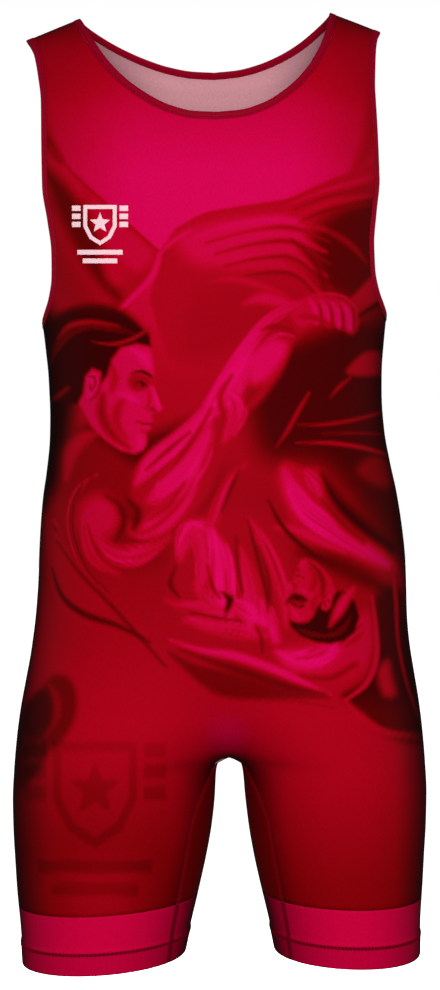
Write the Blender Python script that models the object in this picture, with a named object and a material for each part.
"""Wrestling singlet, one-piece, held out in its worn form with nobody in it.

Metres, +Z up, the front faces -Y. The origin is midway between the two
shoulder seams' neck ends, where the wearer's shoulders hold the garment.
Every panel is a thin wall on one shared surface: horizontal sections down the
torso, two thighs joined by a smooth crotch, and a rounded ridge over each
shoulder.
"""
import bpy
import numpy as np
from math import pi

for ob in list(bpy.data.objects):
    bpy.data.objects.remove(ob, do_unlink=True)

MM = 0.001

# ---------------------------------------------------------------- named sizes
WALL = 1.5             # cloth wall
SEAM_GAP = 0.3         # between sewn pieces
BIND_W = 6.5           # width of the folded bindings
BIND_PROUD = 0.45      # how far a binding stands proud of the cloth each side
HEM_PROUD = 0.7        # how far the turned hem stands proud
HEM_DEPTH = 22.0       # depth of the turned hem
BAND_DEPTH = 53.0      # depth of the bright band at the leg's end
NECK_X = 114.0         # half spacing of the neck ends of the shoulder seams
TIP_X = 162.0          # half spacing of the outer ends
TIP_DROP = 18.5        # how far the outer end lies below the neck end
RIDGE_Y = 6.0          # shoulder ridge lies a little behind the side seams
CAP_Z = -165.0         # below this the sections are plain
CAP_A = 177.0          # half width of the surface at the very top
UNDERARM_Z = -277.0    # lowest point of the armhole
CROTCH_SIDE_Z = -615.0 # side seam level of the row that runs to the crotch
HEM_SIDE_Z = -858.0    # hem at the outside of the leg
HEM_PITCH = 0.9        # the hem also drops to the front, by this share of its sideways tilt
CROTCH_BLEND = 26.0    # how softly the two thighs run together
CROTCH_Y = -12.0       # the crotch seam lies a little to the front
CROTCH_Z = -676.0
INSEAM_DEG = 138.0     # the inseam, measured from the outside of the thigh over the front

# level, half width, front depth, back depth, squareness front and back
BODY = np.array([
    # z       a      front   back   nf    nb
    [60.0,   177.0,  101.0,  92.0, 2.60, 2.60],
    [-60.0,  175.0,  102.0,  97.0, 2.60, 2.60],
    [-165.0, 168.0,  104.0, 101.0, 2.55, 2.55],
    [-218.0, 162.5,  104.0,  99.0, 2.45, 2.50],
    [-277.0, 156.5,  101.0,  93.0, 2.40, 2.45],
    [-300.0, 154.0,   99.0,  89.0, 2.35, 2.40],
    [-328.0, 151.6,   97.0,  85.0, 2.35, 2.35],
    [-355.0, 151.0,   95.5,  82.0, 2.35, 2.35],
    [-382.0, 152.2,   94.5,  80.5, 2.35, 2.35],
    [-410.0, 156.0,   94.5,  81.5, 2.35, 2.35],
    [-437.0, 160.8,   95.5,  85.0, 2.35, 2.30],
    [-465.0, 164.2,   97.0,  91.0, 2.35, 2.30],
    [-492.0, 166.4,   98.0,  98.0, 2.35, 2.30],
    [-519.0, 167.6,   98.5, 105.0, 2.35, 2.30],
    [-546.0, 169.0,   98.5, 111.0, 2.35, 2.30],
    [-574.0, 172.0,   98.0, 115.5, 2.30, 2.25],
    [-601.0, 176.6,   97.0, 118.0, 2.25, 2.20],
    [-628.0, 181.3,   95.5, 117.5, 2.20, 2.15],
    [-656.0, 184.8,   94.5, 113.5, 2.15, 2.10],
    [-683.0, 187.0,   93.2, 107.0, 2.12, 2.08],
    [-710.0, 188.3,   91.6, 100.0, 2.10, 2.05],
    [-738.0, 187.7,   89.4,  93.5, 2.08, 2.05],
    [-765.0, 186.2,   86.6,  88.0, 2.05, 2.05],
    [-792.0, 184.6,   83.6,  84.0, 2.05, 2.05],
    [-820.0, 182.4,   80.6,  81.0, 2.05, 2.05],
    [-847.0, 181.0,   78.0,  79.0, 2.05, 2.05],
    [-900.0, 179.0,   75.0,  77.0, 2.05, 2.05],
])

# level, x of the inner edge of each thigh (it lies past the middle above the crotch)
INNER = np.array([
    # z      inner
    [-440.0, -112.0],
    [-520.0, -104.0],
    [-580.0,  -82.0],
    [-620.0,  -50.0],
    [-645.0,  -25.0],
    [-660.0,  -10.5],
    [-668.0,   -3.0],
    [-673.0,    2.6],
    [-677.0,    7.4],
    [-682.0,   10.8],
    [-690.0,   12.2],
    [-710.0,   13.6],
    [-738.0,   16.8],
    [-765.0,   21.6],
    [-792.0,   27.6],
    [-820.0,   34.2],
    [-847.0,   40.0],
    [-900.0,   51.0],
])

# x, height of the neck opening's edge below the neck end, front and back
NECK_FRONT = np.array([
    # x       z
    [0.0,   -103.0],
    [20.0,  -101.5],
    [41.0,   -95.2],
    [62.0,   -82.4],
    [81.0,   -64.6],
    [94.0,   -46.2],
    [103.0,  -28.4],
    [109.0,  -12.6],
    [114.0,    0.0],
])
NECK_BACK = np.array([
    [0.0,    -39.5],
    [21.0,   -38.2],
    [42.0,   -34.2],
    [63.0,   -27.4],
    [83.0,   -18.6],
    [96.0,   -11.4],
    [106.0,   -5.2],
    [114.0,    0.0],
])

# height, x of the armhole's edge, front and back
ARM_FRONT = np.array([
    # z       x
    [-18.5,  162.0],
    [-22.0,  159.6],
    [-28.0,  157.0],
    [-40.0,  153.8],
    [-60.0,  151.0],
    [-82.0,  149.2],
    [-123.0, 149.6],
    [-160.0, 149.8],
    [-190.0, 146.2],
    [-218.0, 143.4],
    [-240.0, 144.0],
    [-258.0, 147.6],
    [-270.0, 152.8],
    [-277.0, 156.5],
])
ARM_BACK = np.array([
    [-18.5,  162.0],
    [-22.0,  159.8],
    [-28.0,  157.4],
    [-40.0,  154.0],
    [-82.0,  149.0],
    [-123.0, 147.0],
    [-160.0, 145.5],
    [-190.0, 143.5],
    [-218.0, 142.5],
    [-240.0, 144.6],
    [-258.0, 148.6],
    [-270.0, 153.2],
    [-277.0, 156.5],
])

# along the crotch-to-hem run of the inner end: side level, share of the crotch
# row's angle beyond the inseam's, tilt of the row, share of the crotch row's dip
LEG_ROWS = np.array([
    # z_side   angle   tilt   dip
    [-615.0,   1.00,   0.000, 1.00],
    [-626.0,   0.78,   0.004, 0.96],
    [-640.0,   0.52,   0.010, 0.88],
    [-660.0,   0.26,   0.018, 0.73],
    [-690.0,   0.08,   0.027, 0.50],
    [-725.0,   0.00,   0.038, 0.27],
    [-765.0,   0.00,   0.046, 0.09],
    [-800.0,   0.00,   0.050, 0.00],
    [-880.0,   0.00,   0.050, 0.00],
])

# level, x of the line inside the body that the sections are drawn round
CORE = np.array([
    # z       x
    [-470.0,  82.0],
    [-560.0,  84.0],
    [-615.0,  88.0],
    [-690.0,  99.0],
    [-765.0, 104.0],
    [-850.0, 110.0],
    [-900.0, 113.0],
])

# the stance: how far the middle sways sideways, and how far the line between
# the legs lies to one side of it
STANCE = np.array([
    # z      sway  between
    [60.0,   -4.5,  6.0],
    [0.0,    -4.0,  6.5],
    [-28.0,  -3.2,  9.5],
    [-77.0,  -2.0, 10.5],
    [-168.0,  0.6,  5.0],
    [-260.0,  2.0,  0.0],
    [-340.0,  1.4,  0.0],
    [-424.0,  2.6,  0.0],
    [-497.0,  3.6,  0.0],
    [-570.0,  0.4,  2.0],
    [-640.0, -2.0,  7.6],
    [-730.0, -4.0,  9.6],
    [-800.0, -5.3,  9.4],
    [-870.0, -5.6,  8.0],
])

# columns and rows of the panels
N_COL = 12
N_SHOULDER = 3
M_UPPER = 12
M_TORSO = 14
M_LEG = 8


# ------------------------------------------------------------ small functions
def pchip(table, col):
    """Smooth curve through a table's rows, with no overshoot."""
    t = table[np.argsort(table[:, 0])]
    x, y = t[:, 0], t[:, col]
    h = np.diff(x)
    d = np.diff(y) / h
    m = np.zeros(len(x))
    m[0], m[-1] = d[0], d[-1]
    for i in range(1, len(x) - 1):
        if d[i - 1] * d[i] > 0:
            w1, w2 = 2 * h[i] + h[i - 1], h[i] + 2 * h[i - 1]
            m[i] = (w1 + w2) / (w1 / d[i - 1] + w2 / d[i])

    def f(q):
        q = np.clip(np.asarray(q, float), x[0], x[-1])
        k = np.clip(np.searchsorted(x, q) - 1, 0, len(h) - 1)
        s = (q - x[k]) / h[k]
        return ((1 + 2 * s) * (1 - s) ** 2 * y[k] + s * (1 - s) ** 2 * h[k] * m[k]
                + s * s * (3 - 2 * s) * y[k + 1] + s * s * (s - 1) * h[k] * m[k + 1])
    return f


A, FRONT, BACK, NF, NB = (pchip(BODY, c) for c in range(1, 6))
G = pchip(INNER, 1)


SWAY, BETWEEN = pchip(STANCE, 1), pchip(STANCE, 2)


def stance(p):
    """The straight shape moved into its stance."""
    q = np.array(p, float)
    x, z = q[:, 0], q[:, 2]
    q[:, 0] = x + SWAY(z) + BETWEEN(z) * np.maximum(1 - (x / A(z)) ** 2, 0)
    return q


def smooth(a, b, q):
    s = np.clip((q - a) / (b - a), 0, 1)
    return s * s * (3 - 2 * s)


def unit(v):
    return v / np.maximum(np.linalg.norm(v, axis=-1, keepdims=True), 1e-12)


def resample(pts, count, keep=None):
    """Positions along a polyline's own parameter that space it evenly."""
    seg = np.linalg.norm(np.diff(pts, axis=0), axis=1)
    run = np.concatenate([[0], np.cumsum(seg)])
    return np.interp(np.linspace(0, run[-1], count), run, np.linspace(0, 1, len(pts)))


# ------------------------------------------------- upper body: angle and drop
def ridge_z(x):
    """Height of the shoulder ridge; inside the neck it only guides the surface."""
    x = np.abs(x)
    slope = TIP_DROP / (TIP_X - NECK_X)
    out = -(x - NECK_X) * slope
    inn = (NECK_X - x) * 0.16
    k = smooth(NECK_X - 18, NECK_X + 6, x)
    return (1 - k) * inn + k * out - (1 - k) * k * 0.8


CAP_RUN = (-CAP_Z) * pi / 2


def upper(theta, w, side):
    """Point on the upper body. side is -1 for the front and +1 for the back."""
    theta, w = np.broadcast_arrays(np.asarray(theta, float), np.asarray(w, float))
    cap = w < 1
    wl = np.where(cap, w, 1.0)
    zs = CAP_Z - np.where(cap, 0.0, w - 1) * CAP_RUN
    a = np.where(cap, A(CAP_Z) + (CAP_A - A(CAP_Z)) * (1 - wl) ** 1.5, A(zs))
    x = a * np.sin(theta)
    zr = ridge_z(x)
    z = np.where(cap, zr - (zr - CAP_Z) * (1 - np.cos(wl * pi / 2)), zs)
    n = np.where(side < 0, NF(z), NB(z))
    d = np.where(side < 0, FRONT(z), BACK(z))
    c = np.maximum(1 - np.abs(np.sin(theta)) ** n, 0) ** (1 / n)
    y = RIDGE_Y + (side * d * c - RIDGE_Y) * np.sin(wl * pi / 2)
    return np.stack([x, y, z], -1)


def upper_normal(theta, w, side):
    e = 1e-4
    tl, th = theta - e, np.minimum(theta + e, pi / 2)
    wl, wh = np.maximum(w - e, 0), w + e
    pt = upper(th, w, side) - upper(tl, w, side)
    pw = upper(theta, wh, side) - upper(theta, wl, side)
    return unit(np.cross(pt, pw) * side)


def drop_of(x, z):
    """The drop parameter of a point at x and height z."""
    zr = ridge_z(x)
    cap = np.clip(1 - (zr - z) / (zr - CAP_Z), -1, 1)
    return np.where(z > CAP_Z, np.arccos(cap) * 2 / pi, 1 + (CAP_Z - z) / CAP_RUN)


def angle_of(x, w):
    a = np.where(w < 1, A(CAP_Z) + (CAP_A - A(CAP_Z)) * (1 - np.minimum(w, 1)) ** 1.5,
                 A(CAP_Z - (np.maximum(w, 1) - 1) * CAP_RUN))
    return np.arcsin(np.clip(x / a, 0, 1))


# a place in the cloth that each edge's inset heads for, as (angle, drop)
NECK_TOWARDS = np.array([1.2, 1.3])
ARM_TOWARDS = np.array([0.6, 2.2])


def edge_curve(table, along_x):
    """An opening's edge as (angle, drop) at a run parameter 0..1."""
    key = table[:, 0]
    q = np.linspace(0, 1, 400)
    q = 1 - (1 - q) ** 1.7 if along_x else q
    if along_x:
        x = key[0] + (key[-1] - key[0]) * q
        z = pchip(table, 1)(x)
        z = np.where(x >= NECK_X - 1e-9, ridge_z(x), np.minimum(z, ridge_z(x)))
    else:
        z = key[0] + (key[-1] - key[0]) * (1 - np.cos(q * pi)) / 2
        x = pchip(table, 1)(z)
    w = drop_of(x, z)
    return np.stack([angle_of(x, w), w], -1)


def inset(curve, dist, side, towards):
    """Move an edge curve in the surface by dist, towards a given (angle, drop)."""
    th, w = curve[:, 0], curve[:, 1]
    e = 1e-4
    pt = (upper(np.minimum(th + e, pi / 2), w, side) - upper(th - e, w, side))
    pt = pt / (np.minimum(th + e, pi / 2) - th + e)[:, None]
    wl = np.maximum(w - e, 0)
    pw = (upper(th, w + e, side) - upper(th, wl, side)) / (w + e - wl)[:, None]
    p = upper(th, w, side)
    tan = unit(np.gradient(p, axis=0))
    # over the ridge itself the edge runs straight from front to back
    tan = np.where(w[:, None] < 0.03, np.array([[0.1, -side * 1.0, 0.0]]), tan)
    if th[-1] > pi / 2 - 1e-6:
        tan[-1] = [0.0, 1.0, 0.0]
    nor = unit(np.cross(pt, pw))
    b = np.cross(nor, tan)
    g = towards[None, :] - curve
    want = pt * g[:, :1] + pw * g[:, 1:]
    b = b * np.sign((b * want).sum(-1, keepdims=True)) * dist
    a11, a12, a22 = (pt * pt).sum(-1), (pt * pw).sum(-1), (pw * pw).sum(-1)
    r1, r2 = (pt * b).sum(-1), (pw * b).sum(-1)
    det = a11 * a22 - a12 * a12
    out = curve + np.stack([(a22 * r1 - a12 * r2) / det, (a11 * r2 - a12 * r1) / det], -1)
    # below the cap the place follows from its height and depth
    q = p + b
    z = np.minimum(q[:, 2], CAP_Z)
    n = NF(z) if side < 0 else NB(z)
    d = FRONT(z) if side < 0 else BACK(z)
    c = np.clip(np.abs(q[:, 1]) / d, 0, 1)
    low = np.stack([np.arcsin(np.clip((1 - c ** n) ** (1 / n), 0, 1)), 1 + (CAP_Z - z) / CAP_RUN], -1)
    k = smooth(1.0, 1.12, w)[:, None]
    return out * (1 - k) + low * k


# --------------------------------------------- lower body: one implicit shape
def radial(x, y, cx, half, z):
    """Signed distance-like value of one section about its own middle."""
    front = y < 0
    n = np.where(front, NF(z), NB(z))
    d = np.where(front, FRONT(z), BACK(z))
    u, v = np.abs(x - cx) / half, np.abs(y) / d
    rho = np.maximum((u ** n + v ** n) ** (1 / n), 1e-6)
    return np.hypot(x - cx, y) * (1 - 1 / rho)


def field(p):
    """Negative inside the body, zero on the cloth's outer face."""
    x, y, z = p[..., 0], p[..., 1], p[..., 2]
    a, g = A(z), G(z)
    cx, half = (a + g) / 2, (a - g) / 2
    r, l = radial(x, y, cx, half, z), radial(x, y, -cx, half, z)
    h = np.maximum(CROTCH_BLEND - np.abs(r - l), 0) / CROTCH_BLEND
    two = np.minimum(r, l) - h * h * CROTCH_BLEND / 4
    m = smooth(-600.0, -470.0, z)
    return two * (1 - m) + radial(x, y, 0.0, a, z) * m


def cast(origin, direction, far=320.0):
    """Where rays from inside meet the surface, short of the middle plane."""
    lo = np.zeros(direction.shape[:-1])
    across = np.maximum(-direction[..., 0], 1e-9)
    hi = np.where(origin[..., 0] > 1, np.minimum(origin[..., 0] / across, far), far)
    for _ in range(34):
        mid = (lo + hi) / 2
        out = field(origin + direction * mid[..., None]) > 0
        hi = np.where(out, mid, hi)
        lo = np.where(out, lo, mid)
    return origin + direction * ((lo + hi) / 2)[..., None]


def lower_normal(p):
    e = 0.05
    g = np.stack([field(p + d) - field(p - d) for d in np.eye(3) * e], -1)
    return unit(g)


def centre_line(zs, side):
    """The middle of the front or back on the row whose side seam is at zs."""
    top = -284.0
    # how far the middle has run: straight down, then curling under to the crotch
    q = np.clip((top - zs) / (top - CROTCH_SIDE_Z), 0, 1)
    stand = 72.0 if side < 0 else 96.0
    core = np.array([0.0, CROTCH_Y, CROTCH_Z + stand])
    straight = top - core[2]
    curl = 120.0 if side < 0 else 190.0
    # the rows start as far apart as at the side seam and spread towards the crotch
    more = straight + curl - (top - CROTCH_SIDE_Z)
    run = q * (straight + curl) - more * q * (1 - q)
    if run <= straight:
        o = np.array([0.0, 0.0, top - run])
        d = np.array([0.0, float(side), 0.0])
    else:
        al = min((run - straight) / curl, 1.0) * pi / 2
        lift = al / (pi / 2)
        o = core * 1.0
        o[1] *= lift
        d = np.array([0.0, side * np.cos(al), -np.sin(al)])
    return cast(o[None], d[None])[0]


core_x = pchip(CORE, 1)
LEG_ANG, LEG_TILT, LEG_DIP = (pchip(LEG_ROWS, c) for c in (1, 2, 3))


def towards_end(k, end, side):
    """Angle round from the outside and slope of the ray from k to a row's end."""
    v = end - k
    ang = np.arctan2(side * v[1], v[0]) % (2 * pi)
    return ang, v[2] / np.hypot(v[0], v[1])


def crotch_row(side):
    z = CROTCH_SIDE_Z
    k = np.array([float(core_x(z)), 0.0, z])
    return towards_end(k, centre_line(z, side), side)


def lower_row(zs, side, count, trim=0.0):
    """One row of the lower body from its middle or inseam out to the side seam."""
    kx = float(core_x(zs))
    fine = np.linspace(0, 1, 160)
    if zs >= CROTCH_SIDE_Z - 1e-6:
        end = centre_line(zs, side)
        tilt = 0.0
        k = np.array([kx, 0.0, zs])
        ang, dip = towards_end(k, end, side)
    else:
        tilt = float(LEG_TILT(zs))
        k = np.array([kx, 0.0, zs + tilt * (A(zs) - kx)])
        ang0, dip0 = crotch_row(side)
        ins = np.radians(INSEAM_DEG) if side < 0 else 2 * pi - np.radians(INSEAM_DEG)
        share = float(LEG_ANG(zs))
        ang = ins + (ang0 - ins) * share
        dip = dip0 * float(LEG_DIP(zs))
    angs = ang * (1 - fine)
    pts = cast(k[None], direction(angs, side, tilt, dip, ang))
    seg = np.linalg.norm(np.diff(pts, axis=0), axis=1)
    run = np.concatenate([[0], np.cumsum(seg)])
    free_end = zs < CROTCH_SIDE_Z - 1e-6
    # just below the crotch the rows meet the inseam aslant, so they stop shorter
    short = trim * (1 + 7 * float(LEG_ANG(zs))) if free_end else 0.0
    goal = np.linspace(short, run[-1] - trim, count)
    angs = np.interp(goal, run, angs)
    pts = cast(k[None], direction(angs, side, tilt, dip, ang))
    if not free_end:
        pts[0] = end
        pts[0, 0] = 0.0
        if zs <= CROTCH_SIDE_Z + 1e-6:
            pts[0, 1] += side * 4.5 * trim
    return pts


def direction(angs, side, tilt, dip, ang):
    s = np.clip(np.abs(angs) / ang, 0, 1)
    rise = tilt * (HEM_PITCH * side * np.sin(angs) - np.cos(angs)) + dip * smooth(0.2, 0.8, s)
    return unit(np.stack([np.cos(angs), side * np.sin(angs), rise], -1))


# ----------------------------------------------------------------- the grids
def upper_patch(side, cols, shoulder, rows, z_low, bottom):
    """Points and normals from the neck and shoulder down to the underarm."""
    neck = edge_curve(NECK_FRONT if side < 0 else NECK_BACK, True)
    arm = edge_curve(ARM_FRONT if side < 0 else ARM_BACK, False)
    gap = BIND_W + SEAM_GAP
    neck_in = inset(neck, gap, side, NECK_TOWARDS)
    neck_in[0, 0] = 0.0
    arm_in = inset(arm, gap, side, ARM_TOWARDS)
    half_gap = SEAM_GAP / 2 / 150.0
    # both run out to the shoulder seam and to the side seam
    neck_in[-1, 1] = arm_in[0, 1] = half_gap
    neck_in[:, 1] = np.maximum(neck_in[:, 1], half_gap)
    arm_in[:, 1] = np.maximum(arm_in[:, 1], half_gap)
    w_low = drop_of(np.array(0.0), np.array(z_low))
    arm_in[-1] = [pi / 2, w_low]

    def at(curve, t):
        q = np.linspace(0, 1, len(curve))
        return np.stack([np.interp(t, q, curve[:, 0]), np.interp(t, q, curve[:, 1])], -1)

    t_neck = resample(upper(neck_in[:, 0], neck_in[:, 1], side), cols - shoulder + 1)
    top_a = at(neck_in, t_neck)
    s = np.linspace(0, 1, shoulder + 1)[1:, None]
    top_b = top_a[-1] * (1 - s) + arm_in[0] * s
    top = np.concatenate([top_a, top_b])
    t_arm = resample(upper(arm_in[:, 0], arm_in[:, 1], side), rows + 1)
    right = at(arm_in, t_arm)
    w0 = top[0, 1]
    left = np.stack([np.zeros(rows + 1), np.linspace(w0, w_low, rows + 1)], -1)
    th_low = np.arcsin(np.clip(bottom[:, 0] / A(z_low), 0, 1))
    low = np.stack([th_low, np.full(cols + 1, w_low)], -1)
    low[-1] = right[-1]
    u = np.linspace(0, 1, cols + 1)[None, :, None]
    v = np.linspace(0, 1, rows + 1)[:, None, None]
    patch = ((1 - v) * top[None] + v * low[None] + (1 - u) * left[:, None] + u * right[:, None]
             - (1 - u) * (1 - v) * top[0] - u * (1 - v) * top[-1]
             - (1 - u) * v * low[0] - u * v * low[-1])
    th, w = np.clip(patch[..., 0], 0, pi / 2), np.maximum(patch[..., 1], half_gap)
    side_trim = SEAM_GAP / 2
    pts = upper(th, w, side)
    # the last point stays clear of the other panel at the side seam
    pts[-1, -1] = bottom[-1]
    return pts, upper_normal(th, w, side), t_neck, t_arm


def lower_patch(side, cols, torso, legs, z_low):
    z_torso = np.linspace(z_low, CROTCH_SIDE_Z, torso + 1)
    z_end = HEM_SIDE_Z + BAND_DEPTH
    z_leg = np.linspace(CROTCH_SIDE_Z, z_end, legs + 1)[1:]
    levels = np.concatenate([z_torso, z_leg])
    pts = np.stack([lower_row(z, side, cols + 1, SEAM_GAP / 2) for z in levels])
    return levels, pts, lower_normal(pts)


def half_panel(side, cols, shoulder, m_up, m_torso, m_leg):
    z_low = UNDERARM_Z - BIND_W - SEAM_GAP
    levels, pts, nor = lower_patch(side, cols, m_torso, m_leg, z_low)
    up, un, t_neck, t_arm = upper_patch(side, cols, shoulder, m_up, z_low, pts[0])
    grid = np.concatenate([up[:-1], pts])
    norm = np.concatenate([un[:-1], nor])
    norm[:m_up + m_torso, 0, 0] = 0.0
    return grid, unit(norm), m_up + m_torso, t_neck, t_arm


# -------------------------------------------------------------------- meshes
def material(name, rgb, rough):
    m = bpy.data.materials.new(name)
    m.use_nodes = True
    b = m.node_tree.nodes["Principled BSDF"]
    b.inputs["Base Color"].default_value = (*rgb, 1)
    b.inputs["Roughness"].default_value = rough
    b.inputs["Metallic"].default_value = 0
    m.diffuse_color = (*rgb, 1)
    return m


def make(name, verts, faces, mat):
    me = bpy.data.meshes.new(name)
    me.from_pydata([tuple(v) for v in stance(verts) * MM], [], faces)
    me.validate()
    me.materials.append(mat)
    ob = bpy.data.objects.new(name, me)
    bpy.context.scene.collection.objects.link(ob)
    return ob


def thick_panel(name, side, mat):
    """Mirror a half grid over the middle and give it its wall."""
    grid, norm, fork, t_neck, t_arm = half_panel(side, N_COL, N_SHOULDER, M_UPPER, M_TORSO, M_LEG)
    rows, cols = grid.shape[:2]
    flip = np.array([-1.0, 1.0, 1.0])
    verts, ids = [], {}

    def vid(face, half, r, c):
        if c == 0 and r <= fork:
            half = 0
        key = (face, half, r, c)
        if key not in ids:
            p = grid[r, c] - (WALL * norm[r, c] if face else 0)
            ids[key] = len(verts)
            verts.append(p * (flip if half else 1))
        return ids[key]

    faces = []

    def quad(a, b, c, d, rev):
        faces.append((d, c, b, a) if rev else (a, b, c, d))

    turn = side > 0
    for half in (0, 1):
        for face in (0, 1):
            rev = bool(half) ^ bool(face) ^ turn
            for r in range(rows - 1):
                for c in range(cols - 1):
                    quad(vid(face, half, r, c), vid(face, half, r + 1, c),
                         vid(face, half, r + 1, c + 1), vid(face, half, r, c + 1), rev)
        rev = bool(half) ^ turn
        rim = [(0, c) for c in range(cols)]
        rim += [(r, cols - 1) for r in range(1, rows)]
        rim += [(rows - 1, c) for c in range(cols - 2, -1, -1)]
        rim += [(r, 0) for r in range(rows - 2, fork - 1, -1)]
        for (r0, c0), (r1, c1) in zip(rim[:-1], rim[1:]):
            quad(vid(0, half, r0, c0), vid(0, half, r1, c1),
                 vid(1, half, r1, c1), vid(1, half, r0, c0), rev)
    return make(name, verts, faces, mat), grid, norm, t_neck, t_arm


def ring_solid(name, outer_a, outer_b, inner_a, inner_b, mat, closed=True):
    """A band with four corners at each station: outer edge and inner edge, both faces."""
    n = len(outer_a)
    verts = np.concatenate([outer_a, outer_b, inner_b, inner_a])
    faces = []
    for i in range(n):
        j = (i + 1) % n
        for k in range(4):
            l = (k + 1) % 4
            faces.append((k * n + i, k * n + j, l * n + j, l * n + i))
    return make(name, verts, faces, mat)


def binding_half(table, along_x, side, stations, towards):
    """Edge points, inset points and both normals of one binding on one side."""
    curve = edge_curve(table, along_x)
    inner = inset(curve, BIND_W, side, towards)
    q = np.linspace(0, 1, len(curve))
    out = []
    for cv in (curve, inner):
        th = np.interp(stations, q, cv[:, 0])
        w = np.maximum(np.interp(stations, q, cv[:, 1]), 0)
        out += [upper(th, w, side), upper_normal(th, w, side)]
    return out


def between(t):
    mids = (t[1:] + t[:-1]) / 2
    out = np.empty(len(t) + len(mids))
    out[0::2], out[1::2] = t, mids
    return out


def straighten(p, n):
    """Put each in-between station on the chord of its neighbours."""
    p, n = p.copy(), n.copy()
    p[1::2] = (p[0:-1:2] + p[2::2]) / 2
    n[1::2] = unit(n[0:-1:2] + n[2::2])
    return p, n


def wall_of(p, n, proud):
    return p + n * proud, p - n * (WALL + proud)


def neck_binding(t_front, t_back, mat):
    loop = []
    towards = NECK_TOWARDS
    for side, table, t in ((-1, NECK_FRONT, t_front), (1, NECK_BACK, t_back)):
        a, an, b, bn = binding_half(table, True, side, between(t), towards)
        b, bn = straighten(b, bn)
        # meet at the shoulder ridge on one section
        b[-1, 1] = a[-1, 1] = RIDGE_Y
        loop.append((a, an, b, bn))
    f, k = loop
    flip = np.array([-1.0, 1.0, 1.0])
    runs = []
    for i in range(4):
        right_front, right_back = f[i], k[i][::-1][1:]
        left_back, left_front = (k[i] * flip)[1:], (f[i] * flip)[::-1][1:-1]
        runs.append(np.concatenate([right_front, right_back, left_back, left_front]))
    a, an, b, bn = runs
    oa, ia = wall_of(a, an, BIND_PROUD)
    ob, ib = wall_of(b, bn, BIND_PROUD)
    return ring_solid("neck_binding", oa, ob, ia, ib, mat)


def arm_binding(name, sign, t_front, t_back, mat):
    towards = ARM_TOWARDS
    loop = []
    for side, table, t in ((-1, ARM_FRONT, t_front), (1, ARM_BACK, t_back)):
        a, an, b, bn = binding_half(table, False, side, between(t), towards)
        b[0, 1] = a[0, 1] = RIDGE_Y
        for p in (a, b):
            p[-1, 1] = 0.0
        b[-1, 0], b[-1, 2] = A(UNDERARM_Z - BIND_W), UNDERARM_Z - BIND_W
        an[-1] = bn[-1] = unit(np.array([1.0, 0.0, -0.09]))
        b, bn = straighten(b, bn)
        loop.append((a, an, b, bn))
    f, k = loop
    runs = [np.concatenate([f[i], k[i][::-1][1:-1]]) for i in range(4)]
    runs = [r * np.array([sign, 1.0, 1.0]) for r in runs]
    a, an, b, bn = runs
    oa, ia = wall_of(a, an, BIND_PROUD)
    ob, ib = wall_of(b, bn, BIND_PROUD)
    return ring_solid(name, oa, ob, ia, ib, mat)


def leg_band(name, sign, front, back, mat):
    """The tube at the leg's end: its own wall, then the turned hem."""
    z_top = HEM_SIDE_Z + BAND_DEPTH - SEAM_GAP
    levels = [(z_top, 0.0), (HEM_SIDE_Z + HEM_DEPTH + 0.6, 0.0),
              (HEM_SIDE_Z + HEM_DEPTH - 0.6, HEM_PROUD), (HEM_SIDE_Z, HEM_PROUD)]
    rings = []
    for z, proud in levels:
        f = lower_row(z, -1, N_COL + 1)
        b = lower_row(z, 1, N_COL + 1)
        ring = np.concatenate([f, b[::-1][1:-1]])
        n = lower_normal(ring)
        rings.append((ring + n * proud, ring - n * (WALL + (proud and 0.3))))
    n = len(rings[0][0])
    loops = [r[0] for r in rings] + [r[1] for r in rings[::-1]]
    verts = np.concatenate(loops) * np.array([sign, 1.0, 1.0])
    faces = []
    m = len(loops)
    for k in range(m):
        l = (k + 1) % m
        for i in range(n):
            j = (i + 1) % n
            faces.append((k * n + i, k * n + j, l * n + j, l * n + i))
    return make(name, verts, faces, mat)


def face_out(ob):
    """Turn a closed mesh's faces outwards."""
    import bmesh
    bm = bmesh.new()
    bm.from_mesh(ob.data)
    bmesh.ops.recalc_face_normals(bm, faces=bm.faces)
    if bm.calc_volume(signed=True) < 0:
        bmesh.ops.reverse_faces(bm, faces=bm.faces)
    bm.to_mesh(ob.data)
    bm.free()


red = material("printed_spandex_front", (0.42, 0.0, 0.03), 0.5)
dark = material("printed_spandex_back", (0.36, 0.0, 0.03), 0.5)
trim = material("binding_dark_red", (0.16, 0.002, 0.012), 0.6)
bright = material("leg_band_crimson", (0.58, 0.0, 0.05), 0.5)

pieces = []
front, fg, fn, tnf, taf = thick_panel("front_panel", -1, red)
back, bg, bn_, tnb, tab = thick_panel("back_panel", 1, dark)
pieces += [front, back]
pieces.append(neck_binding(tnf, tnb, trim))
pieces.append(arm_binding("armhole_binding_left", 1, taf, tab, trim))
pieces.append(arm_binding("armhole_binding_right", -1, taf, tab, trim))
pieces.append(leg_band("leg_band_left", 1, fg, bg, bright))
pieces.append(leg_band("leg_band_right", -1, fg, bg, bright))
for ob in pieces:
    face_out(ob)
